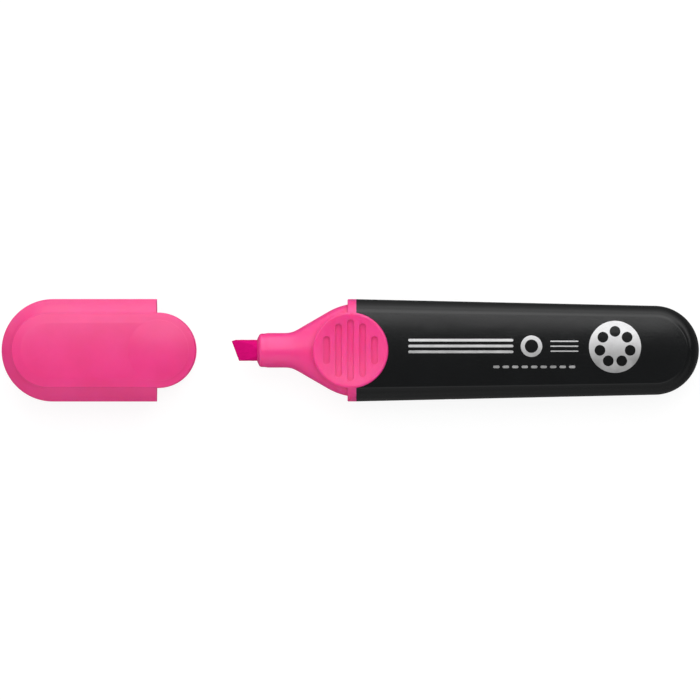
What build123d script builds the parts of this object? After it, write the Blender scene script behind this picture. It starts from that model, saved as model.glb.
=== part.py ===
from build123d import *
from math import asin, atan2, copysign, cos, hypot, pi, radians, sin, sqrt, tan
import os

# A flat highlighter with its cap drawn off forwards, in millimetres.
# X runs along the pen, with the nib and the cap towards -X and the barrel's round end at +X.
# Y runs across the broad face and Z is up out of it.
# Everything is drawn about the pen's own axis, then lifted so that the cap rests on Z = 0.
# The origin is under the middle of the grip disc, halfway along the opened pen.

# ---- driving dimensions -------------------------------------------------------------

# overall
HALF_LENGTH = 81.05          # cap end to barrel end is twice this, with the cap off
BODY_HALF_WIDTH = 11.9       # across the collar and across the cap
RUNNING_GAP = 0.05           # between pieces that plug into each other

# barrel: a flat tube that narrows to a round end
BARREL_FRONT_X = 1.35
BARREL_WALL = 1.3
BARREL_REAR_HALF_WIDTH = 10.36
FACE_HALF_WIDTH_FRONT = 8.78
FACE_HALF_WIDTH_REAR = 7.7
FACE_EDGE_HEIGHT_FRONT = 6.3
FACE_EDGE_HEIGHT_REAR = 5.5
FACE_CROWN_FRONT = 6.7
FACE_CROWN_REAR = 5.9
FACE_EDGE_ROUND = 0.5
STOP_RIB_THICKNESS = 1.2

# collar and grip discs, moulded with the nose
COLLAR_FRONT_X = -0.7
COLLAR_EDGE_ROUND = 0.25
DISC_RADIUS = 8.8
DISC_TOP = 6.7
DISC_EDGE_ROUND = 0.4
DISH_RADIUS = 8.2            # the disc's face is dished inside its rim
DISH_DEPTH = 0.45
GROOVE_COUNT = 5
GROOVE_PITCH = 2.8
GROOVE_WIDTH = 1.6
GROOVE_DEPTH = 0.55
GROOVE_FIELD_RADIUS = 7.2

# nose: a round neck that flares into the flat collar
NECK_RADIUS = 4.025
NECK_FRONT_X = -21.7
NECK_FRONT_RADIUS = 3.9
NECK_MOUTH_RADIUS = 2.6      # where the front's cone starts, just outside the nib
NECK_CONE_LENGTH = 0.6
NECK_RIM_ROUND = 0.75
NECK_RING_END_X = -20.0      # the front ring is a little slimmer than the neck
NECK_STEP_END_X = -18.9      # and eases out to the neck's full size here
FLARE_START_X = -15.2
FLARE_BEND_RADIUS = 5.6
FLARE_SLOPE = 30.0           # degrees, seen on the broad face
FLARE_SHOULDER_X = -5.4
FLARE_BASE_HALF_WIDTH = 10.6
FLARE_BASE_HALF_HEIGHT = 5.3
FLARE_BASE_SQUARENESS = 2.8  # superellipse exponent, 2 is a plain ellipse
FLARE_OUTLINE_POINTS = 24
NECK_SECTIONS = 6            # how many sections the skin is lofted through along the neck
FLARE_SECTIONS = 4           # and along each of the flare's bend, straight and shoulder
FLARE_OVERLAP = 0.6          # how far the flare runs on inside the collar

# spigot that plugs the nose into the barrel
SPIGOT_END_X = 13.0
SPIGOT_WALL = 1.1

# chisel nib
NIB_RADIUS = 2.45
NIB_TIP_X = -27.65
NIB_TIP_Y = 2.13
NIB_SLANT = 20.9             # degrees, writing edge against the square-across line
NIB_WEDGE = 20.4             # degrees, each facet against the broad face
NIB_EDGE_HALF_THICKNESS = 0.55
NIB_CORNER_RELIEF_X = -26.7
NIB_SHANK_END_X = -9.0
NIB_TAIL_RADIUS = 1.5
NIB_TAIL_END_X = 3.0

# ink reservoir: a fibre core in a film sleeve
CORE_RADIUS = 4.25
CORE_FRONT_X = -3.0
CORE_REAR_X = 69.5
FILM_THICKNESS = 0.15

# cap
CAP_LENGTH = 36.0            # closed end to mouth, without the tongues
CAP_SIDE_FLAT = 4.4          # half height of the upright part of each side
CAP_SIDE_EDGE_ROUND = 0.6
CAP_BEVEL_RADIUS = 17.0      # the bevel above the side is very nearly flat
CAP_SHOULDER_HALF_WIDTH = 8.77
CAP_SHOULDER_HEIGHT = 7.4
CAP_SIDE_WALL = 0.65
CAP_CAVITY_HEIGHT = 6.85
CAP_STOP_X = -66.0           # ledge that the seal insert is pressed against
CAP_STOP_STEP = 0.8
PLATEAU_TOP = 8.3
PLATEAU_FLAT_HALF_WIDTH = 6.5
PLATEAU_BAND_ROUND = 2.5     # eases the flat top into the sloping band round it
PLATEAU_EDGE_HEIGHT = 7.78
PLATEAU_EDGE_HALF_WIDTH = 8.5
TONGUE_RADIUS = 8.77
TONGUE_CENTRE_BEYOND_MOUTH = 0.4
PLATEAU_END_SETBACK = 2.2    # cap end to plateau end
DOME_RADIUS = 7.1            # low dome on the upper tongue; the lower one is left plain
DOME_RISE = 0.75

# seal insert inside the cap
SEAL_WALL = 1.0
SEAL_MOUTH_X = -59.9
SEAL_STEP_X = -66.9
SEAL_END_X = -74.8
SEAL_NIB_BORE_RADIUS = 3.5
SEAL_FLOOR = 1.2
SEAL_FLANGE_THICKNESS = 1.2

# ---- worked out from those ----------------------------------------------------------

AXIS_HEIGHT = PLATEAU_TOP
BARREL_ROUND_X = HALF_LENGTH - BARREL_REAR_HALF_WIDTH
CAP_ROUND_X = -HALF_LENGTH + BODY_HALF_WIDTH
CAP_MOUTH_X = -HALF_LENGTH + CAP_LENGTH
TONGUE_CENTRE_X = CAP_MOUTH_X + TONGUE_CENTRE_BEYOND_MOUTH
PLATEAU_ROUND_X = -HALF_LENGTH + PLATEAU_END_SETBACK + TONGUE_RADIUS
FILM_RADIUS = CORE_RADIUS + RUNNING_GAP + FILM_THICKNESS
RESERVOIR_BORE_RADIUS = FILM_RADIUS + RUNNING_GAP
SEAL_BORE_RADIUS = NECK_RADIUS + RUNNING_GAP
FAR = 40.0                   # longer than any piece is thick, for cutting tools
CLEAR = 1.0                  # how far a cutting tool runs past the end of what it cuts


# ---- section helpers ----------------------------------------------------------------


def across(x):
    """The plane square across the pen at X = x, drawn with Y to the right and Z up."""
    return Plane(origin=(x, 0, 0), x_dir=(0, 1, 0), z_dir=(1, 0, 0))


def blend(x, at_front, at_rear):
    """A barrel dimension at X = x, running evenly from the collar to the round end."""
    share = (x - BARREL_FRONT_X) / (BARREL_ROUND_X - BARREL_FRONT_X)
    return at_front + (at_rear - at_front) * share


def barrel_size(x):
    """Half width, face half width, face edge height and crown height of the barrel at X = x."""
    return (
        blend(x, BODY_HALF_WIDTH, BARREL_REAR_HALF_WIDTH),
        blend(x, FACE_HALF_WIDTH_FRONT, FACE_HALF_WIDTH_REAR),
        blend(x, FACE_EDGE_HEIGHT_FRONT, FACE_EDGE_HEIGHT_REAR),
        blend(x, FACE_CROWN_FRONT, FACE_CROWN_REAR),
    )


def inset_size(size, depth):
    """The same four sizes for a section whose walls all lie this much further in."""
    half_width, face_half_width, edge_height, crown = size
    drop = half_width - face_half_width
    side_radius = (drop**2 + edge_height**2) / (2 * drop)
    side_centre = half_width - side_radius
    sag = crown - edge_height
    face_radius = (face_half_width**2 + sag**2) / (2 * sag)
    face_centre = crown - face_radius
    # the corner is where the two smaller circles, about the same centres, cross
    side_inner = side_radius - depth
    face_inner = face_radius - depth
    gap = sqrt(side_centre**2 + face_centre**2)
    along = (side_inner**2 - face_inner**2 + gap**2) / (2 * gap)
    aside = sqrt(side_inner**2 - along**2)
    toward_y = -side_centre / gap
    toward_z = face_centre / gap
    corner_y = side_centre + along * toward_y - aside * toward_z
    corner_z = along * toward_z + aside * toward_y
    return half_width - depth, corner_y, corner_z, crown - depth


def flat_section(size, corner_round):
    """A flat oval across the pen: two bowed sides and two gently crowned faces."""
    half_width, face_half_width, edge_height, crown = size
    upper_right = (face_half_width, edge_height)
    upper_left = (-face_half_width, edge_height)
    lower_right = (face_half_width, -edge_height)
    lower_left = (-face_half_width, -edge_height)
    outline = [
        ThreePointArc(lower_right, (half_width, 0), upper_right),
        ThreePointArc(upper_right, (0, crown), upper_left),
        ThreePointArc(upper_left, (-half_width, 0), lower_left),
        ThreePointArc(lower_left, (0, -crown), lower_right),
    ]
    section = make_face(outline)
    return fillet(section.vertices(), corner_round)


def right_half(section):
    """The half of a section on its +Y side, for turning into a round end."""
    window = Pos(FAR / 2, 0) * Rectangle(FAR, FAR)
    return section & window


def tapered_tube(from_x, to_x, depth, corner_round):
    """A stretch of the barrel's form, with its walls this much inside the outer surface."""
    ends = [
        across(x) * flat_section(inset_size(barrel_size(x), depth), corner_round)
        for x in (from_x, to_x)
    ]
    return loft(ends, ruled=True)


def round_end(profile, x, side):
    """Half a turn of a +Y profile about the upright line at X = x, towards side +1 or -1."""
    upright = Axis((x, 0, 0), (0, 0, 1))
    return revolve(across(x) * profile, upright, -180 * side)


def upright_cylinder(radius, x, from_z, to_z):
    """A cylinder standing along Z on the pen's centreline."""
    return Pos(x, 0, (from_z + to_z) / 2) * Cylinder(radius, to_z - from_z)


def lengthwise_cylinder(radius, from_x, to_x):
    """A cylinder lying along the pen's axis."""
    middle = Pos((from_x + to_x) / 2, 0, 0)
    return middle * Rot(0, 90, 0) * Cylinder(radius, to_x - from_x)


def ball(radius, x, z):
    """A ball on the pen's centreline, turned so that its poles are at its sides."""
    return Pos(x, 0, z) * Rot(90, 0, 0) * Sphere(radius)


def both_faces(upper):
    """A feature of the upper face together with its twin on the lower face."""
    return [upper, mirror(upper, about=Plane.XY)]


# ---- barrel -------------------------------------------------------------------------


def barrel_form(depth, corner_round):
    """The whole closed form of the barrel, with its walls this much inside the surface."""
    tube = tapered_tube(BARREL_FRONT_X, BARREL_ROUND_X, depth, corner_round)
    rear_size = inset_size(barrel_size(BARREL_ROUND_X), depth)
    rear = round_end(right_half(flat_section(rear_size, corner_round)), BARREL_ROUND_X, 1)
    return tube + rear


def make_barrel():
    outside = barrel_form(0.0, FACE_EDGE_ROUND)
    inside = barrel_form(BARREL_WALL, FACE_EDGE_ROUND)
    shell = outside - inside
    # the grip discs sit in round notches in the front edge of each face
    notch = upright_cylinder(DISC_RADIUS + RUNNING_GAP, 0, NECK_RADIUS, FAR)
    for tool in both_faces(notch):
        shell = shell - tool
    # a rib on the end wall stops the reservoir sliding back
    rib_from = CORE_REAR_X + RUNNING_GAP
    rib_to = HALF_LENGTH - BARREL_WALL / 2
    rib = Pos((rib_from + rib_to) / 2, 0, 0) * Box(rib_to - rib_from, STOP_RIB_THICKNESS, FAR)
    return shell + (rib & barrel_form(BARREL_WALL / 2, FACE_EDGE_ROUND))


# ---- nose section: neck, flare, collar, spigot and both grip discs ------------------


def flare_half_width(x):
    """Half width of the flare, seen on the broad face: hollow bend, straight, round shoulder."""
    slope = radians(FLARE_SLOPE)
    bend_end_x = FLARE_START_X + FLARE_BEND_RADIUS * sin(slope)
    if x <= FLARE_START_X:
        return NECK_RADIUS
    if x <= bend_end_x:
        turned = asin((x - FLARE_START_X) / FLARE_BEND_RADIUS)
        return NECK_RADIUS + FLARE_BEND_RADIUS * (1 - cos(turned))
    bend_end = NECK_RADIUS + FLARE_BEND_RADIUS * (1 - cos(slope))
    if x <= FLARE_SHOULDER_X:
        return bend_end + (x - bend_end_x) * tan(slope)
    shoulder = bend_end + (FLARE_SHOULDER_X - bend_end_x) * tan(slope)
    # the shoulder is a parabola that leaves at the flare's slope and ends on the base width
    run = COLLAR_FRONT_X - FLARE_SHOULDER_X
    fall_short = shoulder + run * tan(slope) - FLARE_BASE_HALF_WIDTH
    along = x - FLARE_SHOULDER_X
    return shoulder + along * tan(slope) - fall_short * (along / run) ** 2


def flare_section(x):
    """The flare's outline at X = x: round at the neck, a soft flat oval at the collar."""
    half_width = flare_half_width(x)
    share = (half_width - NECK_RADIUS) / (FLARE_BASE_HALF_WIDTH - NECK_RADIUS)
    half_height = NECK_RADIUS + share * (FLARE_BASE_HALF_HEIGHT - NECK_RADIUS)
    power = 2 / (2 + share * (FLARE_BASE_SQUARENESS - 2))
    points = []
    for step in range(FLARE_OUTLINE_POINTS):
        angle = 2 * pi * step / FLARE_OUTLINE_POINTS
        y = half_width * copysign(abs(cos(angle)) ** power, cos(angle))
        z = half_height * copysign(abs(sin(angle)) ** power, sin(angle))
        points.append((y, z))
    return across(x) * make_face(Spline(points, periodic=True))


def make_neck_and_flare():
    """The neck and the flare as one skin, with a slightly slimmer, round-edged ring at the front."""
    bend_end_x = FLARE_START_X + FLARE_BEND_RADIUS * sin(radians(FLARE_SLOPE))
    stretches = [
        (NECK_FRONT_X, FLARE_START_X, NECK_SECTIONS),
        (FLARE_START_X, bend_end_x, FLARE_SECTIONS),
        (bend_end_x, FLARE_SHOULDER_X, FLARE_SECTIONS),
        (FLARE_SHOULDER_X, COLLAR_FRONT_X, FLARE_SECTIONS),
    ]
    stations = []
    for from_x, to_x, steps in stretches:
        stations += [from_x + (to_x - from_x) * step / steps for step in range(steps)]
    stations += [COLLAR_FRONT_X, COLLAR_FRONT_X + FLARE_OVERLAP]
    skin = loft([flare_section(x) for x in stations])
    # everything outside this turned envelope is cut off the front of the neck
    rim = (NECK_FRONT_X + NECK_CONE_LENGTH, NECK_FRONT_RADIUS)
    envelope = make_face(
        Polyline(
            (NECK_FRONT_X, 0),
            (NECK_FRONT_X, NECK_MOUTH_RADIUS),
            rim,
            (NECK_RING_END_X, NECK_FRONT_RADIUS),
            (NECK_STEP_END_X, NECK_RADIUS + RUNNING_GAP),
            (NECK_STEP_END_X, FAR),
            (FAR, FAR),
            (FAR, 0),
            close=True,
        )
    )
    corner = envelope.vertices().sort_by_distance(rim)[0]
    return skin & revolve(Plane.XZ * fillet(corner, NECK_RIM_ROUND), Axis.X)


def make_grip_disc():
    """One grip disc before its face is cut: a plain round boss."""
    disc = upright_cylinder(DISC_RADIUS, 0, NECK_RADIUS, DISC_TOP)
    top_edge = disc.edges().sort_by(Axis.Z)[-1]
    return fillet(top_edge, DISC_EDGE_ROUND)


def make_grip_cutter():
    """What is cut from the upper face: a shallow dish for the thumb, with straight grooves in it."""
    ball_radius = (DISH_RADIUS**2 + DISH_DEPTH**2) / (2 * DISH_DEPTH)
    dish_floor = DISC_TOP - DISH_DEPTH

    def above_dish(column, sink):
        return column & ball(ball_radius, 0, dish_floor - sink + ball_radius)

    cutter = above_dish(upright_cylinder(DISH_RADIUS, 0, NECK_RADIUS, DISC_TOP + CLEAR), 0)
    for index in range(GROOVE_COUNT):
        x = (index - (GROOVE_COUNT - 1) / 2) * GROOVE_PITCH
        half_length = sqrt(GROOVE_FIELD_RADIUS**2 - (abs(x) + GROOVE_WIDTH / 2) ** 2)
        slot = Rot(0, 0, 90) * SlotOverall(2 * half_length, GROOVE_WIDTH)
        column = Pos(x, 0, NECK_RADIUS) * extrude(slot, DISC_TOP - NECK_RADIUS)
        cutter = cutter + above_dish(column, GROOVE_DEPTH)
    return cutter


def make_spigot():
    """The hollow plug behind the collar, with a tube down its middle for the reservoir."""
    outer = tapered_tube(BARREL_FRONT_X, SPIGOT_END_X, BARREL_WALL + RUNNING_GAP, FACE_EDGE_ROUND)
    pocket_depth = BARREL_WALL + RUNNING_GAP + SPIGOT_WALL
    pocket = tapered_tube(BARREL_FRONT_X, SPIGOT_END_X + CLEAR, pocket_depth, FACE_EDGE_ROUND)
    tube = lengthwise_cylinder(RESERVOIR_BORE_RADIUS + SPIGOT_WALL, 0, FAR)
    return outer - (pocket - tube)


def make_collar():
    section = flat_section(barrel_size(BARREL_FRONT_X), FACE_EDGE_ROUND)
    collar = extrude(across(COLLAR_FRONT_X) * section, BARREL_FRONT_X - COLLAR_FRONT_X)
    front_edges = collar.faces().sort_by(Axis.X)[0].edges()
    return fillet(front_edges, COLLAR_EDGE_ROUND)


def make_nose_section():
    nose = make_neck_and_flare() + make_collar() + make_spigot()
    for disc in both_faces(make_grip_disc()):
        nose = nose + disc
    for cutter in both_faces(make_grip_cutter()):
        nose = nose - cutter
    bores = [
        lengthwise_cylinder(RESERVOIR_BORE_RADIUS, CORE_FRONT_X - 2 * RUNNING_GAP, FAR),
        lengthwise_cylinder(NIB_RADIUS + RUNNING_GAP, -FAR, NIB_SHANK_END_X + RUNNING_GAP),
        lengthwise_cylinder(NIB_TAIL_RADIUS + 2 * RUNNING_GAP, NIB_SHANK_END_X, 0),
    ]
    for bore in bores:
        nose = nose - bore
    return nose


# ---- nib and reservoir --------------------------------------------------------------


def make_nib():
    """A round felt rod cut to a chisel, with a thin tail that feeds it from the reservoir."""
    rod = lengthwise_cylinder(NIB_RADIUS, NIB_TIP_X - CLEAR, NIB_SHANK_END_X)
    tail = lengthwise_cylinder(NIB_TAIL_RADIUS, NIB_SHANK_END_X, NIB_TAIL_END_X)
    tip = Location((NIB_TIP_X, NIB_TIP_Y, 0), (0, 0, NIB_SLANT))
    # the slanted writing edge keeps only what lies behind it
    keep = tip * Pos(FAR / 2, 0, 0) * Box(FAR, 2 * FAR, FAR)
    chisel = rod & keep
    # two facets meet the edge, one on each broad side
    facet = (
        tip
        * Pos(0, 0, NIB_EDGE_HALF_THICKNESS)
        * Rot(0, -NIB_WEDGE, 0)
        * Pos(0, 0, FAR / 2)
        * Box(2 * FAR, 2 * FAR, FAR)
    )
    for tool in both_faces(facet):
        chisel = chisel - tool
    # the leading corner is eased
    relief = make_face(
        Polyline(
            (NIB_TIP_X, NIB_TIP_Y),
            (NIB_CORNER_RELIEF_X, NIB_RADIUS),
            (NIB_CORNER_RELIEF_X, 2 * NIB_RADIUS),
            (NIB_TIP_X - CLEAR, 2 * NIB_RADIUS),
            (NIB_TIP_X - CLEAR, NIB_TIP_Y),
            close=True,
        )
    )
    chisel = chisel - extrude(relief, FAR / 2, both=True)
    return chisel + tail


def make_core():
    core = lengthwise_cylinder(CORE_RADIUS, CORE_FRONT_X, CORE_REAR_X)
    socket = lengthwise_cylinder(
        NIB_TAIL_RADIUS + RUNNING_GAP, CORE_FRONT_X - CLEAR, NIB_TAIL_END_X + RUNNING_GAP
    )
    return core - socket


def make_film():
    sleeve = lengthwise_cylinder(FILM_RADIUS, CORE_FRONT_X, CORE_REAR_X)
    return sleeve - lengthwise_cylinder(CORE_RADIUS + RUNNING_GAP, -FAR, 2 * FAR)


# ---- cap ----------------------------------------------------------------------------


def cap_profile(depth, top):
    """Right half of a cap section: upright side, nearly flat bevel and a flat top at this height."""
    run = BODY_HALF_WIDTH - CAP_SHOULDER_HALF_WIDTH
    rise = CAP_SHOULDER_HEIGHT - CAP_SIDE_FLAT
    chord = hypot(run, rise)
    # the bevel is an arc on the outer surface, and its inner walls share the arc's centre
    reach = sqrt(CAP_BEVEL_RADIUS**2 - (chord / 2) ** 2)
    centre_y = (BODY_HALF_WIDTH + CAP_SHOULDER_HALF_WIDTH) / 2 - reach * rise / chord
    centre_z = (CAP_SIDE_FLAT + CAP_SHOULDER_HEIGHT) / 2 - reach * run / chord
    radius = CAP_BEVEL_RADIUS - depth
    side = BODY_HALF_WIDTH - depth
    foot_z = centre_z + sqrt(radius**2 - (side - centre_y) ** 2)
    head_y = centre_y + sqrt(radius**2 - (top - centre_z) ** 2)
    foot_angle = atan2(foot_z - centre_z, side - centre_y)
    head_angle = atan2(top - centre_z, head_y - centre_y)
    middle = (foot_angle + head_angle) / 2
    middle_y = centre_y + radius * cos(middle)
    middle_z = centre_z + radius * sin(middle)
    profile = make_face(
        [
            Line((0, -top), (head_y, -top)),
            ThreePointArc((head_y, -top), (middle_y, -middle_z), (side, -foot_z)),
            Line((side, -foot_z), (side, foot_z)),
            ThreePointArc((side, foot_z), (middle_y, middle_z), (head_y, top)),
            Line((head_y, top), (0, top)),
            Line((0, top), (0, -top)),
        ]
    )
    if depth > 0:
        return profile
    corners = [profile.vertices().sort_by_distance((side, z))[0] for z in (foot_z, -foot_z)]
    return fillet(corners, CAP_SIDE_EDGE_ROUND)


def cap_form(depth, top, mouth_x):
    """The cap's closed form without its plateaus, walls this much inside the outer surface."""
    half = cap_profile(depth, top)
    whole = half + mirror(half, about=Plane.YZ)
    tube = extrude(across(CAP_ROUND_X) * whole, mouth_x - CAP_ROUND_X)
    return tube + round_end(half, CAP_ROUND_X, -1)


def plateau_profile():
    """Right half of the raised plateau: drafted edge, sloping band, then the flat top."""
    band_start = (PLATEAU_FLAT_HALF_WIDTH, PLATEAU_TOP)
    profile = make_face(
        Polyline(
            (0, CAP_CAVITY_HEIGHT),
            (TONGUE_RADIUS, CAP_CAVITY_HEIGHT),
            (TONGUE_RADIUS, CAP_SHOULDER_HEIGHT),
            (PLATEAU_EDGE_HALF_WIDTH, PLATEAU_EDGE_HEIGHT),
            band_start,
            (0, PLATEAU_TOP),
            close=True,
        )
    )
    corner = profile.vertices().sort_by_distance(band_start)[0]
    return fillet(corner, PLATEAU_BAND_ROUND)


def make_plateau():
    """The upper plateau, from its round end over the cap to the tongue past the mouth."""
    half = plateau_profile()
    whole = half + mirror(half, about=Plane.YZ)
    plateau = extrude(across(PLATEAU_ROUND_X) * whole, TONGUE_CENTRE_X - PLATEAU_ROUND_X)
    plateau = plateau + round_end(half, PLATEAU_ROUND_X, -1)
    return plateau + round_end(half, TONGUE_CENTRE_X, 1)


def make_dome():
    """The low dome on the upper tongue, with a short round foot that sinks into the plateau."""
    ball_radius = (DOME_RADIUS**2 + DOME_RISE**2) / (2 * DOME_RISE)
    apex = PLATEAU_TOP + DOME_RISE
    column = upright_cylinder(DOME_RADIUS, TONGUE_CENTRE_X, PLATEAU_EDGE_HEIGHT, apex + CLEAR)
    return column & ball(ball_radius, TONGUE_CENTRE_X, apex - ball_radius)


def make_cap_shell():
    shell = cap_form(0.0, CAP_SHOULDER_HEIGHT, CAP_MOUTH_X)
    for plateau in both_faces(make_plateau()):
        shell = shell + plateau
    shell = shell + make_dome()
    # the cavity is full size up to a ledge, and narrower behind it
    narrow = CAP_SIDE_WALL + CAP_STOP_STEP
    front_room = cap_form(CAP_SIDE_WALL, CAP_CAVITY_HEIGHT, CAP_MOUTH_X)
    front_room = front_room & Pos(CAP_STOP_X + FAR, 0, 0) * Box(2 * FAR, FAR, FAR)
    rear_room = cap_form(narrow, CAP_CAVITY_HEIGHT - CAP_STOP_STEP, CAP_STOP_X)
    return shell - front_room - rear_room


def make_seal_insert():
    """A closed cup that grips the neck, on a flange that fills the cap's cavity."""
    cup = lengthwise_cylinder(SEAL_BORE_RADIUS + SEAL_WALL, SEAL_END_X, SEAL_MOUTH_X)
    inset = CAP_SIDE_WALL + RUNNING_GAP
    flange_half = cap_profile(inset, CAP_CAVITY_HEIGHT - RUNNING_GAP)
    flange = flange_half + mirror(flange_half, about=Plane.YZ)
    insert = cup + extrude(across(CAP_STOP_X) * flange, SEAL_FLANGE_THICKNESS)
    neck_bore = lengthwise_cylinder(SEAL_BORE_RADIUS, SEAL_STEP_X, 0)
    nib_bore = lengthwise_cylinder(SEAL_NIB_BORE_RADIUS, SEAL_END_X + SEAL_FLOOR, 0)
    return insert - neck_bore - nib_bore


# ---- write every piece --------------------------------------------------------------

PIECES = {
    "barrel": make_barrel,
    "nose_section": make_nose_section,
    "chisel_nib": make_nib,
    "reservoir_core": make_core,
    "reservoir_film": make_film,
    "cap_shell": make_cap_shell,
    "cap_seal_insert": make_seal_insert,
}

os.makedirs("parts", exist_ok=True)
for name, make in PIECES.items():
    piece = Pos(0, 0, AXIS_HEIGHT) * make()
    piece.label = name
    export_step(piece, f"parts/{name}.step")
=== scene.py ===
import math

import bmesh
import bpy
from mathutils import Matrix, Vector
from mathutils.bvhtree import BVHTree


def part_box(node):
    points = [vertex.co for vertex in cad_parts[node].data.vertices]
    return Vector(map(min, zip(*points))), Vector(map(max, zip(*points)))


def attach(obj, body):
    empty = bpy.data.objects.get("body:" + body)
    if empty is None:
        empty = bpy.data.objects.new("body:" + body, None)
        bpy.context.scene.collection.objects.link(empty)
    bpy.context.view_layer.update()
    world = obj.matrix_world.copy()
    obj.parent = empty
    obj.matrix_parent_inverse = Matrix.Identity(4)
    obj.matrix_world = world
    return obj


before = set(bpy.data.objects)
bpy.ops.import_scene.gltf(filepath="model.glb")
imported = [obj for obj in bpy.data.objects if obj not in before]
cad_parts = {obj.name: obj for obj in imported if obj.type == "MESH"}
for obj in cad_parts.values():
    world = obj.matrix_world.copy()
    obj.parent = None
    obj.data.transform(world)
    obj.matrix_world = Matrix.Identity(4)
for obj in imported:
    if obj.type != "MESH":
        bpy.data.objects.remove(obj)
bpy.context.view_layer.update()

MM = 0.001

# ---- sizes taken from the frame ----------------------------------------------------------

BARREL_TOP_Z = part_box("barrel")[1].z
CAP_LOW, CAP_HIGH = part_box("cap_shell")
AXIS_Z = (CAP_LOW.z + CAP_HIGH.z) / 2


# ---- node helpers ------------------------------------------------------------------------


class Nodes:
    """A short way to write the node tree of a material or of the world."""

    def __init__(self, owner, coordinates="Object"):
        owner.use_nodes = True
        self.tree = owner.node_tree
        self.tree.nodes.clear()
        self.coords = self.add("ShaderNodeTexCoord").outputs[coordinates]

    def add(self, kind, **settings):
        node = self.tree.nodes.new(kind)
        for key, value in settings.items():
            setattr(node, key, value)
        return node

    def put(self, node, socket, value):
        """Set a socket to a number, a colour, a vector or another node's output."""
        if isinstance(value, (int, float)):
            node.inputs[socket].default_value = value
        elif isinstance(value, tuple):
            size = len(node.inputs[socket].default_value)
            node.inputs[socket].default_value = (*value, 1.0)[:size]
        else:
            self.tree.links.new(value, node.inputs[socket])

    def noise(self, pattern, stretch=None):
        """Noise from a pattern (cells per metre, detail, roughness), squeezed along each axis by stretch."""
        place = self.coords
        if stretch:
            mapping = self.add("ShaderNodeMapping")
            self.put(mapping, "Scale", stretch)
            self.put(mapping, "Vector", self.coords)
            place = mapping.outputs["Vector"]
        node = self.add("ShaderNodeTexNoise")
        for socket, value in zip(("Scale", "Detail", "Roughness"), pattern):
            self.put(node, socket, value)
        self.put(node, "Vector", place)
        return node.outputs["Fac"]

    def range(self, value, low, high, from_low, from_high, curve="LINEAR"):
        """The value moved from one span to another and kept inside it."""
        node = self.add("ShaderNodeMapRange", interpolation_type=curve)
        self.put(node, "From Min", from_low)
        self.put(node, "From Max", from_high)
        self.put(node, "To Min", low)
        self.put(node, "To Max", high)
        self.put(node, "Value", value)
        return node.outputs["Result"]

    def combine(self, operation, a, b):
        """One step of arithmetic on two numbers."""
        node = self.add("ShaderNodeMath", operation=operation)
        self.put(node, 0, a)
        self.put(node, 1, b)
        return node.outputs["Value"]

    def vector(self, operation, a, b=None, result="Vector"):
        """One step of arithmetic on vectors."""
        node = self.add("ShaderNodeVectorMath", operation=operation)
        self.put(node, 0, a)
        if b is not None:
            self.put(node, 1, b)
        return node.outputs[result]

    def split(self, vector):
        """The X, Y and Z parts of a vector."""
        node = self.add("ShaderNodeSeparateXYZ")
        self.put(node, 0, vector)
        return node.outputs

    def mix(self, factor, colour_a, colour_b):
        node = self.add("ShaderNodeMix", data_type="RGBA")
        self.put(node, 0, factor)
        self.put(node, 6, colour_a)
        self.put(node, 7, colour_b)
        return node.outputs[2]

    def blend(self, factor, shader_a, shader_b):
        node = self.add("ShaderNodeMixShader")
        self.put(node, 0, factor)
        self.put(node, 1, shader_a)
        self.put(node, 2, shader_b)
        return node.outputs[0]

    def geometry(self, output):
        return self.add("ShaderNodeNewGeometry").outputs[output]

    def cavity(self, distance):
        """1 in the open and towards 0 in grooves and corners."""
        node = self.add("ShaderNodeAmbientOcclusion", samples=6)
        self.put(node, "Distance", distance)
        return node.outputs["AO"]

    def edges(self, radius):
        """1 on sharp edges and 0 on smooth faces."""
        bevel = self.add("ShaderNodeBevel", samples=4)
        self.put(bevel, "Radius", radius)
        agree = self.vector("DOT_PRODUCT", bevel.outputs[0], self.geometry("Normal"), "Value")
        return self.range(agree, 1.0, 0.0, *EDGE_SPAN)

    def quiet_edge_on(self, shine):
        """The shine, let down on a face seen edge-on, so that the pale backdrop doesn't white it out."""
        facing = self.add("ShaderNodeLayerWeight").outputs["Facing"]
        return self.range(facing, shine, 0.0, *EDGE_ON_SPAN)

    def crowned(self, rise):
        """The normal of the cap's flat top, leaning as if it were a little crowned from side to side."""
        normal = self.geometry("Normal")
        flat_place = self.vector("MULTIPLY", self.coords, (1.0, 1.0, 0.0))
        from_dome = self.vector("DISTANCE", flat_place, DOME_CENTRE, "Value")
        level = self.range(self.split(normal)["Z"], 0.0, rise, *LEVEL_SPAN)
        level = self.combine("MULTIPLY", level, self.range(from_dome, 0.0, 1.0, *DOME_FADE))
        sideways = self.add("ShaderNodeCombineXYZ")
        self.put(sideways, "Y", self.combine("MULTIPLY", level, self.split(self.coords)["Y"]))
        return self.vector("NORMALIZE", self.vector("ADD", normal, sideways.outputs[0]))

    def bump(self, height, distance, strength, normal=None):
        node = self.add("ShaderNodeBump")
        self.put(node, "Distance", distance)
        self.put(node, "Strength", strength)
        self.put(node, "Height", height)
        if normal is not None:
            self.put(node, "Normal", normal)
        return node.outputs["Normal"]

    def surface(self, colour, roughness, normal=None, **more):
        shader = self.add("ShaderNodeBsdfPrincipled")
        inputs = {"Base Color": colour, "Roughness": roughness, **more}
        if normal is not None:
            inputs["Normal"] = normal
        for socket, value in inputs.items():
            self.put(shader, socket, value)
        self.put(self.add("ShaderNodeOutputMaterial"), "Surface", shader.outputs["BSDF"])


# ---- materials ---------------------------------------------------------------------------

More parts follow.
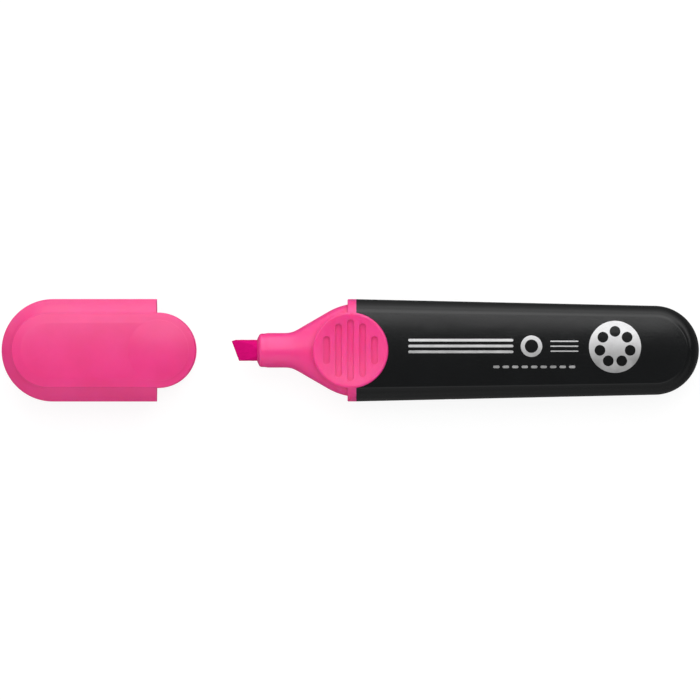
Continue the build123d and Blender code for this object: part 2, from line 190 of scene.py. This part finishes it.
EDGE_SPAN = (0.9, 0.995)
EDGE_ON_SPAN = (0.8, 0.93)
LEVEL_SPAN = (0.97, 1.0)
DOME_CENTRE = (-44.6 * MM, 0.0, 0.0)
DOME_FADE = (7.0 * MM, 7.3 * MM)     # the cap's crown starts outside the dome

CAVITY_REACH = 1.6 * MM
# The span of the ambient-occlusion factor over which grooves and corners get painted shade.
PAINTED_SHADE_SPAN = (0.35, 0.95)
EDGE_REACH = 0.35 * MM
# How far sharp edges are lightened: partly wear, partly a painted highlight on the edge.
EDGE_TINT = 0.5
EDGE_DULL = 0.06

# Noise patterns: cells per metre, detail, roughness.
CLOUD = (140, 3, 0.5)
SCUFF = (160, 2, 0.5)
GRAIN = (2600, 3, 0.6)
RUB = (700, 4, 0.7)
SCRATCH = (9000, 2, 0.6)
RUB_STRETCH = (1.0, 6.0, 6.0)
SCRATCH_STRETCH = (0.03, 1.0, 1.0)
SOFT_SPAN = (0.3, 0.7)
CLOUD_SPAN = (0.35, 0.65)
SCRATCH_SPAN = (0.6, 0.75)
RUB_DULL = 0.04
SCRATCH_DULL = 0.05
GRAIN_DEPTH = 0.02 * MM
GRAIN_STRENGTH = 0.35
SCRATCH_DEPTH = 0.004 * MM
SCRATCH_STRENGTH = 0.5

PLASTIC_IOR = 1.49
GLOW_TINT = (1.0, 0.12, 0.35)
GLOW_REACH = 0.9 * MM


def halfway(colour_a, colour_b):
    return tuple((a + b) / 2 for a, b in zip(colour_a, colour_b))


def moulded_plastic(name, colour, deep, edge_wear_and_highlight_colour, rough, shine=0.5, glow=0.0, crown=0.0, scratched=False):
    """Glossy moulded plastic: cloudy, scuffed and finely grained, with painted shade in grooves and corners,
    edges made duller and lightened as wear and as a painted highlight, and, if asked, scratched.
    """
    material = bpy.data.materials.new(name)
    n = Nodes(material)
    cloud = n.range(n.noise(CLOUD), 0.0, 1.0, *CLOUD_SPAN)
    open_air = n.cavity(CAVITY_REACH)
    edge_wear_and_highlight = n.combine("MULTIPLY", n.edges(EDGE_REACH), open_air)
    base = n.mix(cloud, colour, halfway(colour, deep))
    # Painted shade: the colour darkens towards the deep colour in grooves, creases and corners, where shade
    # falls.
    base = n.mix(n.range(open_air, 1.0, 0.0, *PAINTED_SHADE_SPAN), base, deep)
    # Partly wear, partly a painted highlight: sharp convex edges are lightened towards the edge colour,
    # standing in for the light line an edge catches.
    base = n.mix(n.combine("MULTIPLY", edge_wear_and_highlight, EDGE_TINT), base, edge_wear_and_highlight_colour)
    scuff = n.range(n.range(n.noise(SCUFF), 0.0, 1.0, *SOFT_SPAN), *rough, 0.0, 1.0)
    dull = n.combine("ADD", scuff, n.combine("MULTIPLY", edge_wear_and_highlight, EDGE_DULL))
    normal = n.bump(n.noise(GRAIN), GRAIN_DEPTH, GRAIN_STRENGTH, n.crowned(crown) if crown else None)
    if scratched:
        dull = n.combine("ADD", dull, n.range(n.noise(RUB, RUB_STRETCH), 0.0, RUB_DULL, *SOFT_SPAN))
        scratch = n.range(n.noise(SCRATCH, SCRATCH_STRETCH), 0.0, 1.0, *SCRATCH_SPAN)
        dull = n.combine("ADD", dull, n.combine("MULTIPLY", scratch, SCRATCH_DULL))
        normal = n.bump(scratch, SCRATCH_DEPTH, SCRATCH_STRENGTH, normal)
    more = {"IOR": PLASTIC_IOR, "Specular IOR Level": n.quiet_edge_on(shine)}
    if glow:
        more["Subsurface Weight"] = glow
        more["Subsurface Radius"] = GLOW_TINT
        more["Subsurface Scale"] = GLOW_REACH
    n.surface(base, dull, normal, **more)
    return material


PINK_CAP = moulded_plastic(
    "pink_cap_plastic",
    colour=(0.82, 0.044, 0.25),
    deep=(0.75, 0.034, 0.2),
    edge_wear_and_highlight_colour=(0.88, 0.085, 0.31),
    rough=(0.29, 0.34),
    shine=0.68,
    glow=0.5,
    crown=14.0,
)
PINK_NOSE = moulded_plastic(
    "pink_nose_plastic",
    colour=(0.88, 0.05, 0.28),
    deep=(0.78, 0.034, 0.21),
    edge_wear_and_highlight_colour=(0.93, 0.085, 0.33),
    rough=(0.29, 0.33),
    shine=0.68,
    glow=0.6,
)
PINK_SEAL = moulded_plastic(
    "pink_seal_plastic",
    colour=(0.85, 0.2, 0.38),
    deep=(0.7, 0.12, 0.28),
    edge_wear_and_highlight_colour=(0.88, 0.25, 0.42),
    rough=(0.5, 0.6),
)
BLACK = moulded_plastic(
    "black_barrel_plastic",
    colour=(0.0045, 0.005, 0.0054),
    deep=(0.003, 0.0033, 0.0036),
    edge_wear_and_highlight_colour=(0.012, 0.0125, 0.013),
    rough=(0.13, 0.15),
    scratched=True,
)
FILM = moulded_plastic(
    "film",
    colour=(0.9, 0.5, 0.65),
    deep=(0.8, 0.4, 0.55),
    edge_wear_and_highlight_colour=(0.92, 0.6, 0.7),
    rough=(0.1, 0.15),
)

BLOTCH = (260, 3, 0.5)
PORE_FINER = 1.7          # pores are this much finer than the streaks
STREAK_SPAN = (0.35, 0.7)
PORE_SPAN = (0.6, 0.72)
BLOTCH_SPAN = (0.4, 0.65)
PORE_SHARE = 0.5
PORE_SHADE = 0.7
BLOTCH_SHARE = 0.35
BLOTCH_LIGHT = 1.12
STREAK_STRENGTH = 0.6
PORE_STRENGTH = 0.5
PORE_SHALLOWER = 0.6
FIBRE_ROUGH = (0.8, 0.97)
FIBRE_SHINE = 0.04
FIBRE_SHEEN = 0.03


def fibrous(name, colour, deep, cells, stretch, depth):
    """Matt inked fibre: streaks along the rod, dark pores and a fuzzy surface."""
    material = bpy.data.materials.new(name)
    n = Nodes(material)
    streak = n.noise((cells, 4, 0.65), stretch)
    pores = n.noise((cells * PORE_FINER, 3, 0.7))
    blotch = n.noise(BLOTCH)
    pore_colour = tuple(PORE_SHADE * c for c in deep)
    blotch_colour = tuple(min(1.0, BLOTCH_LIGHT * c) for c in colour)
    base = n.mix(n.range(streak, 0.0, 1.0, *STREAK_SPAN), colour, deep)
    base = n.mix(n.range(pores, 0.0, PORE_SHARE, *PORE_SPAN), base, pore_colour)
    base = n.mix(n.range(blotch, 0.0, BLOTCH_SHARE, *BLOTCH_SPAN), base, blotch_colour)
    rough = n.range(pores, *FIBRE_ROUGH, *SOFT_SPAN)
    normal = n.bump(streak, depth, STREAK_STRENGTH)
    normal = n.bump(pores, depth * PORE_SHALLOWER, PORE_STRENGTH, normal)
    sheen = {"Sheen Weight": FIBRE_SHEEN, "Sheen Tint": colour}
    n.surface(base, rough, normal, **{"Specular IOR Level": FIBRE_SHINE, **sheen})
    return material


FELT = fibrous(
    "inked_felt",
    colour=(0.64, 0.0035, 0.17),
    deep=(0.55, 0.0028, 0.14),
    cells=2400,
    stretch=(0.12, 1.0, 1.0),
    depth=0.06 * MM,
)
FIBRE = fibrous(
    "inked_fibre",
    colour=(0.85, 0.03, 0.3),
    deep=(0.7, 0.02, 0.25),
    cells=1800,
    stretch=(0.05, 1.0, 1.0),
    depth=0.08 * MM,
)

PAINT = {
    "barrel": BLACK,
    "nose_section": PINK_NOSE,
    "chisel_nib": FELT,
    "reservoir_core": FIBRE,
    "reservoir_film": FILM,
    "cap_shell": PINK_CAP,
    "cap_seal_insert": PINK_SEAL,
}
for node_name, paint in PAINT.items():
    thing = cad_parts[node_name]
    thing.data.materials.clear()
    thing.data.materials.append(paint)

# ---- the felt tip's uneven surface -------------------------------------------------------

FELT_VOXEL = 0.11 * MM
FELT_LUMP = 0.9 * MM
FELT_FUZZ = 0.07 * MM


def roughen_nib():
    """A finer mesh on the nib, then small lumps in it."""
    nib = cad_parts["chisel_nib"]
    finer = nib.modifiers.new("finer", "REMESH")
    finer.mode = "VOXEL"
    finer.voxel_size = FELT_VOXEL
    finer.use_smooth_shade = True
    lumps = bpy.data.textures.new("felt_lumps", "CLOUDS")
    lumps.noise_scale = FELT_LUMP
    lumps.noise_depth = 3
    fuzz = nib.modifiers.new("fuzz", "DISPLACE")
    fuzz.texture = lumps
    fuzz.texture_coords = "LOCAL"
    fuzz.strength = FELT_FUZZ
    fuzz.mid_level = 0.5


roughen_nib()

# ---- silver print on the barrel's upper face ---------------------------------------------

PRINT_LIFT = 0.02 * MM
OVERPRINT_LIFT = 0.035 * MM
PRINT_CELL = 0.8 * MM
WELD_DISTANCE = 0.001 * MM
RAY_CLEARANCE = 10 * MM
ARC_STEPS = 10


def stripe(from_x, to_x, y, thickness):
    """Outline of a long stripe with rounded ends, in millimetres."""
    half = thickness / 2
    points = []
    for centre, start in ((to_x - half, -90), (from_x + half, 90)):
        for step in range(ARC_STEPS + 1):
            angle = math.radians(start + 180 * step / ARC_STEPS)
            points.append((centre + half * math.cos(angle), y + half * math.sin(angle)))
    return points


def ring(x, y, inner, outer, steps):
    """A ring as a fan of small outlines; an inner radius of nought gives a disc."""
    quads = []
    for step in range(steps):
        a, b = (2 * math.pi * (step + more) / steps for more in (0, 1))
        near = [(x + inner * math.cos(t), y + inner * math.sin(t)) for t in (b, a)]
        far = [(x + outer * math.cos(t), y + outer * math.sin(t)) for t in (a, b)]
        quads.append((near[:1] if inner == 0 else near) + far)
    return quads


def cut_into_cells(bm):
    """Split the flat outlines on a square grid, so that they can follow the curved face."""
    for axis in (Vector((1, 0, 0)), Vector((0, 1, 0))):
        along = [v.co.dot(axis) for v in bm.verts]
        place = math.floor(min(along) / PRINT_CELL) * PRINT_CELL
        while place < max(along):
            whole = bm.verts[:] + bm.edges[:] + bm.faces[:]
            bmesh.ops.bisect_plane(bm, geom=whole, plane_co=axis * place, plane_no=axis)
            place += PRINT_CELL


def print_piece(name, outlines, lift, ink):
    """Flat outlines cut into small cells, then laid on the barrel's crowned face."""
    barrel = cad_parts["barrel"].data
    skin = BVHTree.FromPolygons([v.co for v in barrel.vertices], [p.vertices for p in barrel.polygons])
    bm = bmesh.new()
    for outline in outlines:
        bm.faces.new([bm.verts.new((x * MM, y * MM, 0)) for x, y in outline])
    bmesh.ops.remove_doubles(bm, verts=bm.verts, dist=WELD_DISTANCE)
    cut_into_cells(bm)
    for v in bm.verts:
        above = Vector((v.co.x, v.co.y, BARREL_TOP_Z + RAY_CLEARANCE))
        hit = skin.ray_cast(above, Vector((0, 0, -1)))[0]
        v.co.z = hit.z + lift
    bmesh.ops.recalc_face_normals(bm, faces=bm.faces)
    mesh = bpy.data.meshes.new(name)
    bm.to_mesh(mesh)
    bm.free()
    if mesh.polygons[0].normal.z < 0:
        mesh.flip_normals()
    for polygon in mesh.polygons:
        polygon.use_smooth = True
    mesh.materials.append(ink)
    piece = bpy.data.objects.new(name, mesh)
    bpy.context.scene.collection.objects.link(piece)
    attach(piece, "pen")


FLAKE = (9000, 2, 0.6)
INK_CLOUD = (220, 3, 0.6)
INK_WEAR = (1500, 5, 0.75)
INK_CLOUD_SPAN = (0.4, 0.7)
INK_WEAR_SPAN = (0.66, 0.74)
FLAKE_SHARE = 0.3
INK_CLOUD_SHARE = 0.25
INK_WEAR_SHARE = 0.5
FLAKE_DEPTH = 0.01 * MM
FLAKE_STRENGTH = 0.5
SILVER_ROUGH = (0.36, 0.5)
SILVER_METAL = 0.4
# Painted light: the silver is painted darker low on the face and lighter high on it, where the lamp falls.
SILVER_PAINTED_LIGHT_SPAN = (-2.2 * MM, 4.2 * MM)     # across the face, dark to light
SILVER_DARK = (0.28, 0.28, 0.28)
SILVER_LIGHT = (0.93, 0.93, 0.94)
SILVER_WORN = (0.2, 0.2, 0.2)


def silver_ink():
    """Silver ink with fine flake, painted lighter where the face leans to the lamp, and a few specks where the
    ink has come away.
    """
    material = bpy.data.materials.new("silver_ink")
    n = Nodes(material)
    flake = n.noise(FLAKE)
    # Painted highlight and shade: lighter towards +Y, on the lamp's side, darker towards -Y.
    silver = n.mix(n.range(n.split(n.coords)["Y"], 0.0, 1.0, *SILVER_PAINTED_LIGHT_SPAN), SILVER_DARK, SILVER_LIGHT)
    cloud = n.range(n.noise(INK_CLOUD), 0.0, INK_CLOUD_SHARE, *INK_CLOUD_SPAN)
    wear = n.range(n.noise(INK_WEAR), 0.0, INK_WEAR_SHARE, *INK_WEAR_SPAN)
    silver = n.mix(n.range(flake, 0.0, FLAKE_SHARE, *SOFT_SPAN), silver, SILVER_DARK)
    silver = n.mix(cloud, silver, SILVER_LIGHT)
    silver = n.mix(wear, silver, SILVER_WORN)
    rough = n.range(flake, *SILVER_ROUGH, *SOFT_SPAN)
    n.surface(silver, rough, n.bump(flake, FLAKE_DEPTH, FLAKE_STRENGTH), Metallic=SILVER_METAL)
    return material


SILVER = silver_ink()

# All places and sizes of the print are in millimetres.
LONG_ENDS = (13.4, 37.8)
LONG_ROWS = (2.35, 1.0, -0.35)
SHORT_ENDS = (46.4, 52.9)
SHORT_ROWS = (2.1, 0.95, -0.2)
THICK_LINE = 0.62
THIN_LINE = 0.3
DASH_COUNT = 9
DASH_START = 33.1
DASH_LENGTH = 1.5
DASH_PITCH = 2.2
DASH_ROW = -3.85
RING_X = 42.0
RING_Y = 0.95
RING_INNER = 1.55
RING_OUTER = 2.5
RING_STEPS = 48
ROUNDEL_X = 61.4
ROUNDEL_Y = 0.8
ROUNDEL_RADIUS = 6.05
ROUNDEL_STEPS = 96
DOT_COUNT = 7
DOT_RADIUS = 1.25
DOT_DISTANCE = 3.6
DOT_STEPS = 32


def dashes():
    starts = [DASH_START + DASH_PITCH * count for count in range(DASH_COUNT)]
    return [stripe(start, start + DASH_LENGTH, DASH_ROW, THICK_LINE) for start in starts]


def dots():
    """A circle of round dots inside the roundel, the first one at its top."""
    outlines = []
    for count in range(DOT_COUNT):
        turn = 2 * math.pi * count / DOT_COUNT + math.pi / 2
        x = ROUNDEL_X + DOT_DISTANCE * math.cos(turn)
        y = ROUNDEL_Y + DOT_DISTANCE * math.sin(turn)
        outlines += ring(x, y, 0, DOT_RADIUS, DOT_STEPS)
    return outlines


SILVER_PIECES = {
    "print_long_stripes": [stripe(*LONG_ENDS, row, THICK_LINE) for row in LONG_ROWS],
    "print_ring": ring(RING_X, RING_Y, RING_INNER, RING_OUTER, RING_STEPS),
    "print_short_stripes": [stripe(*SHORT_ENDS, row, THIN_LINE) for row in SHORT_ROWS],
    "print_dashes": dashes(),
    "print_roundel": ring(ROUNDEL_X, ROUNDEL_Y, 0, ROUNDEL_RADIUS, ROUNDEL_STEPS),
}
for piece_name, shapes in SILVER_PIECES.items():
    print_piece(piece_name, shapes, PRINT_LIFT, SILVER)
print_piece("print_roundel_dots", dots(), OVERPRINT_LIFT, BLACK)

# ---- floor -------------------------------------------------------------------------------

FLOOR_RADIUS = 12.0
FLOOR_SEGMENTS = 96
FLOOR_BOUNCE = 0.55              # what matt surfaces get back from the floor
FLOOR_PALE = 0.18                # the part of the floor's look that takes shadows
FLOOR_GLOW = 0.87                # and the part that doesn't
# What mirror reflections see, as it changes across the floor: dark near the pen, light on the far side.
FLOOR_DARK_MIRROR = 0.09
FLOOR_LIGHT_MIRROR = 1.05
FLOOR_LIGHT_SPAN = (20 * MM, 65 * MM)
FLOOR_NEAR_MIRROR = 0.14
FLOOR_NEAR_SPAN = (-45 * MM, -15 * MM)


def floor_material():
    """Pale to the camera, a soft bounce for matt surfaces, and a quiet sweep in mirror reflections."""
    material = bpy.data.materials.new("pale_floor")
    n = Nodes(material)
    path = n.add("ShaderNodeLightPath").outputs

    def matt(shade):
        shader = n.add("ShaderNodeBsdfDiffuse")
        n.put(shader, "Color", (shade, shade, shade))
        return shader.outputs[0]

    def glow(strength):
        shader = n.add("ShaderNodeEmission")
        n.put(shader, "Strength", strength)
        return shader.outputs[0]

    seen = n.add("ShaderNodeAddShader")
    n.put(seen, 0, matt(FLOOR_PALE))
    n.put(seen, 1, glow(FLOOR_GLOW))
    across = n.split(n.geometry("Position"))["Y"]
    far_side = n.range(across, FLOOR_DARK_MIRROR, FLOOR_LIGHT_MIRROR, *FLOOR_LIGHT_SPAN)
    near_side = n.range(across, FLOOR_NEAR_MIRROR, 0.0, *FLOOR_NEAR_SPAN)
    sweep = glow(n.combine("ADD", far_side, near_side))
    bounced = n.blend(path["Is Glossy Ray"], matt(FLOOR_BOUNCE), sweep)
    output = n.add("ShaderNodeOutputMaterial")
    n.put(output, "Surface", n.blend(path["Is Camera Ray"], bounced, seen.outputs[0]))
    return material


def lay_floor():
    mesh = bpy.data.meshes.new("floor")
    bm = bmesh.new()
    bmesh.ops.create_circle(bm, cap_ends=True, radius=FLOOR_RADIUS, segments=FLOOR_SEGMENTS)
    bm.to_mesh(mesh)
    bm.free()
    mesh.materials.append(floor_material())
    floor = bpy.data.objects.new("floor", mesh)
    bpy.context.scene.collection.objects.link(floor)


lay_floor()

# ---- light -------------------------------------------------------------------------------


def softbox(name, location, size, power):
    """A lamp aimed at the object that lights matt surfaces and leaves no mirror image of itself."""
    lamp = bpy.data.lights.new(name, "AREA")
    lamp.shape = "RECTANGLE"
    lamp.size, lamp.size_y = size
    lamp.energy = power
    holder = bpy.data.objects.new(name, lamp)
    holder.location = location
    holder.rotation_mode = "QUATERNION"
    holder.rotation_quaternion = (-Vector(location)).to_track_quat("-Z", "Y")
    holder.visible_camera = False
    holder.visible_glossy = False
    bpy.context.scene.collection.objects.link(holder)


softbox("overhead_fill", location=(0.0, 0.3, 1.45), size=(1.4, 0.9), power=3.4)
softbox("front_fill", location=(0.0, -1.23, 0.86), size=(1.2, 0.7), power=4.2)
softbox("low_front_fill", location=(0.0, -1.3, 0.25), size=(1.4, 0.4), power=1.8)
softbox("back_fill", location=(0.0, 1.0, 1.0), size=(1.2, 0.7), power=3.9)
softbox("left_fill", location=(-1.3, 0.2, 0.8), size=(0.8, 0.8), power=2.6)
softbox("right_fill", location=(1.3, 0.2, 0.8), size=(0.8, 0.8), power=0.8)

# Brightness of the studio by angle from straight up, towards +Y (plus) or -Y (minus).
STUDIO = [
    (-180, 0.1), (-95, 0.3), (-78, 0.32), (-68, 0.6), (-42, 0.6), (-28, 0.33), (-18, 0.15), (-9, 0.12),
    (3.0, 0.12), (6.5, 0.19), (8.3, 0.65), (9.6, 2.4), (13, 2.1), (22, 1.6), (60, 1.75), (78, 2.1),
    (88, 1.85), (110, 0.6), (140, 0.2),
]
STUDIO_PEAK = max(level for _, level in STUDIO)
# Where the lit strip fades out, as the sideways part of a direction, and what lies beyond.
LEFT_FADE = (-0.1, -0.65)
RIGHT_FADE = (0.35, 0.85)
LEFT_GLOW = 0.35
RIGHT_GLOW = 0.12
HORIZON = 1.0


def strip_ramp(n, share):
    """The lit strip's grey by angle, where share runs from 0 at -180 degrees to 1 at +180."""
    ramp = n.add("ShaderNodeValToRGB")
    stops = ramp.color_ramp.elements
    while len(stops) > 1:
        stops.remove(stops[-1])
    for index, (degrees, level) in enumerate(STUDIO):
        place = (degrees + 180) / 360
        stop = stops[0] if index == 0 else stops.new(place)
        stop.position = place
        shade = level / STUDIO_PEAK
        stop.color = (shade, shade, shade, 1)
    n.put(ramp, 0, share)
    return ramp.outputs["Color"]


def studio_world():
    """A lit strip over the object for reflections and bounced light, and a plain white backdrop."""
    world = bpy.data.worlds.new("studio")
    bpy.context.scene.world = world
    n = Nodes(world, "Generated")
    way = n.split(n.coords)
    angle = n.combine("ARCTAN2", way["Y"], way["Z"])
    strip = strip_ramp(n, n.range(angle, 0.0, 1.0, -math.pi, math.pi))
    left = n.range(way["X"], 0.0, 1.0, *LEFT_FADE, "SMOOTHSTEP")
    right = n.range(way["X"], 0.0, 1.0, *RIGHT_FADE, "SMOOTHSTEP")
    sides = (LEFT_GLOW / STUDIO_PEAK, RIGHT_GLOW / STUDIO_PEAK)
    beyond = n.range(way["X"], *sides, LEFT_FADE[0], RIGHT_FADE[0])
    studio = n.add("ShaderNodeBackground")
    n.put(studio, "Strength", STUDIO_PEAK)
    n.put(studio, "Color", n.mix(n.combine("MAXIMUM", left, right), strip, beyond))
    backdrop = n.add("ShaderNodeBackground")
    n.put(backdrop, "Color", (HORIZON, HORIZON, HORIZON))
    seen = n.add("ShaderNodeLightPath").outputs["Is Camera Ray"]
    output = n.add("ShaderNodeOutputWorld")
    n.put(output, "Surface", n.blend(seen, studio.outputs[0], backdrop.outputs[0]))


studio_world()

# ---- camera ------------------------------------------------------------------------------

SENSOR = 36.0
CAMERA_HEIGHT = 3.0
CAMERA_X = -0.12 * MM
CAMERA_Y = 0.07 * MM
FRAME_WIDTH = 162.8 * MM         # width of the view at the height of the pen's axis

camera_data = bpy.data.cameras.new("camera")
camera_data.sensor_width = SENSOR
camera_data.lens = SENSOR * (CAMERA_HEIGHT - AXIS_Z) / FRAME_WIDTH
camera = bpy.data.objects.new("camera", camera_data)
camera.location = (CAMERA_X, CAMERA_Y, CAMERA_HEIGHT)
bpy.context.scene.collection.objects.link(camera)
bpy.context.scene.camera = camera
bpy.context.scene.view_settings.view_transform = "Standard"
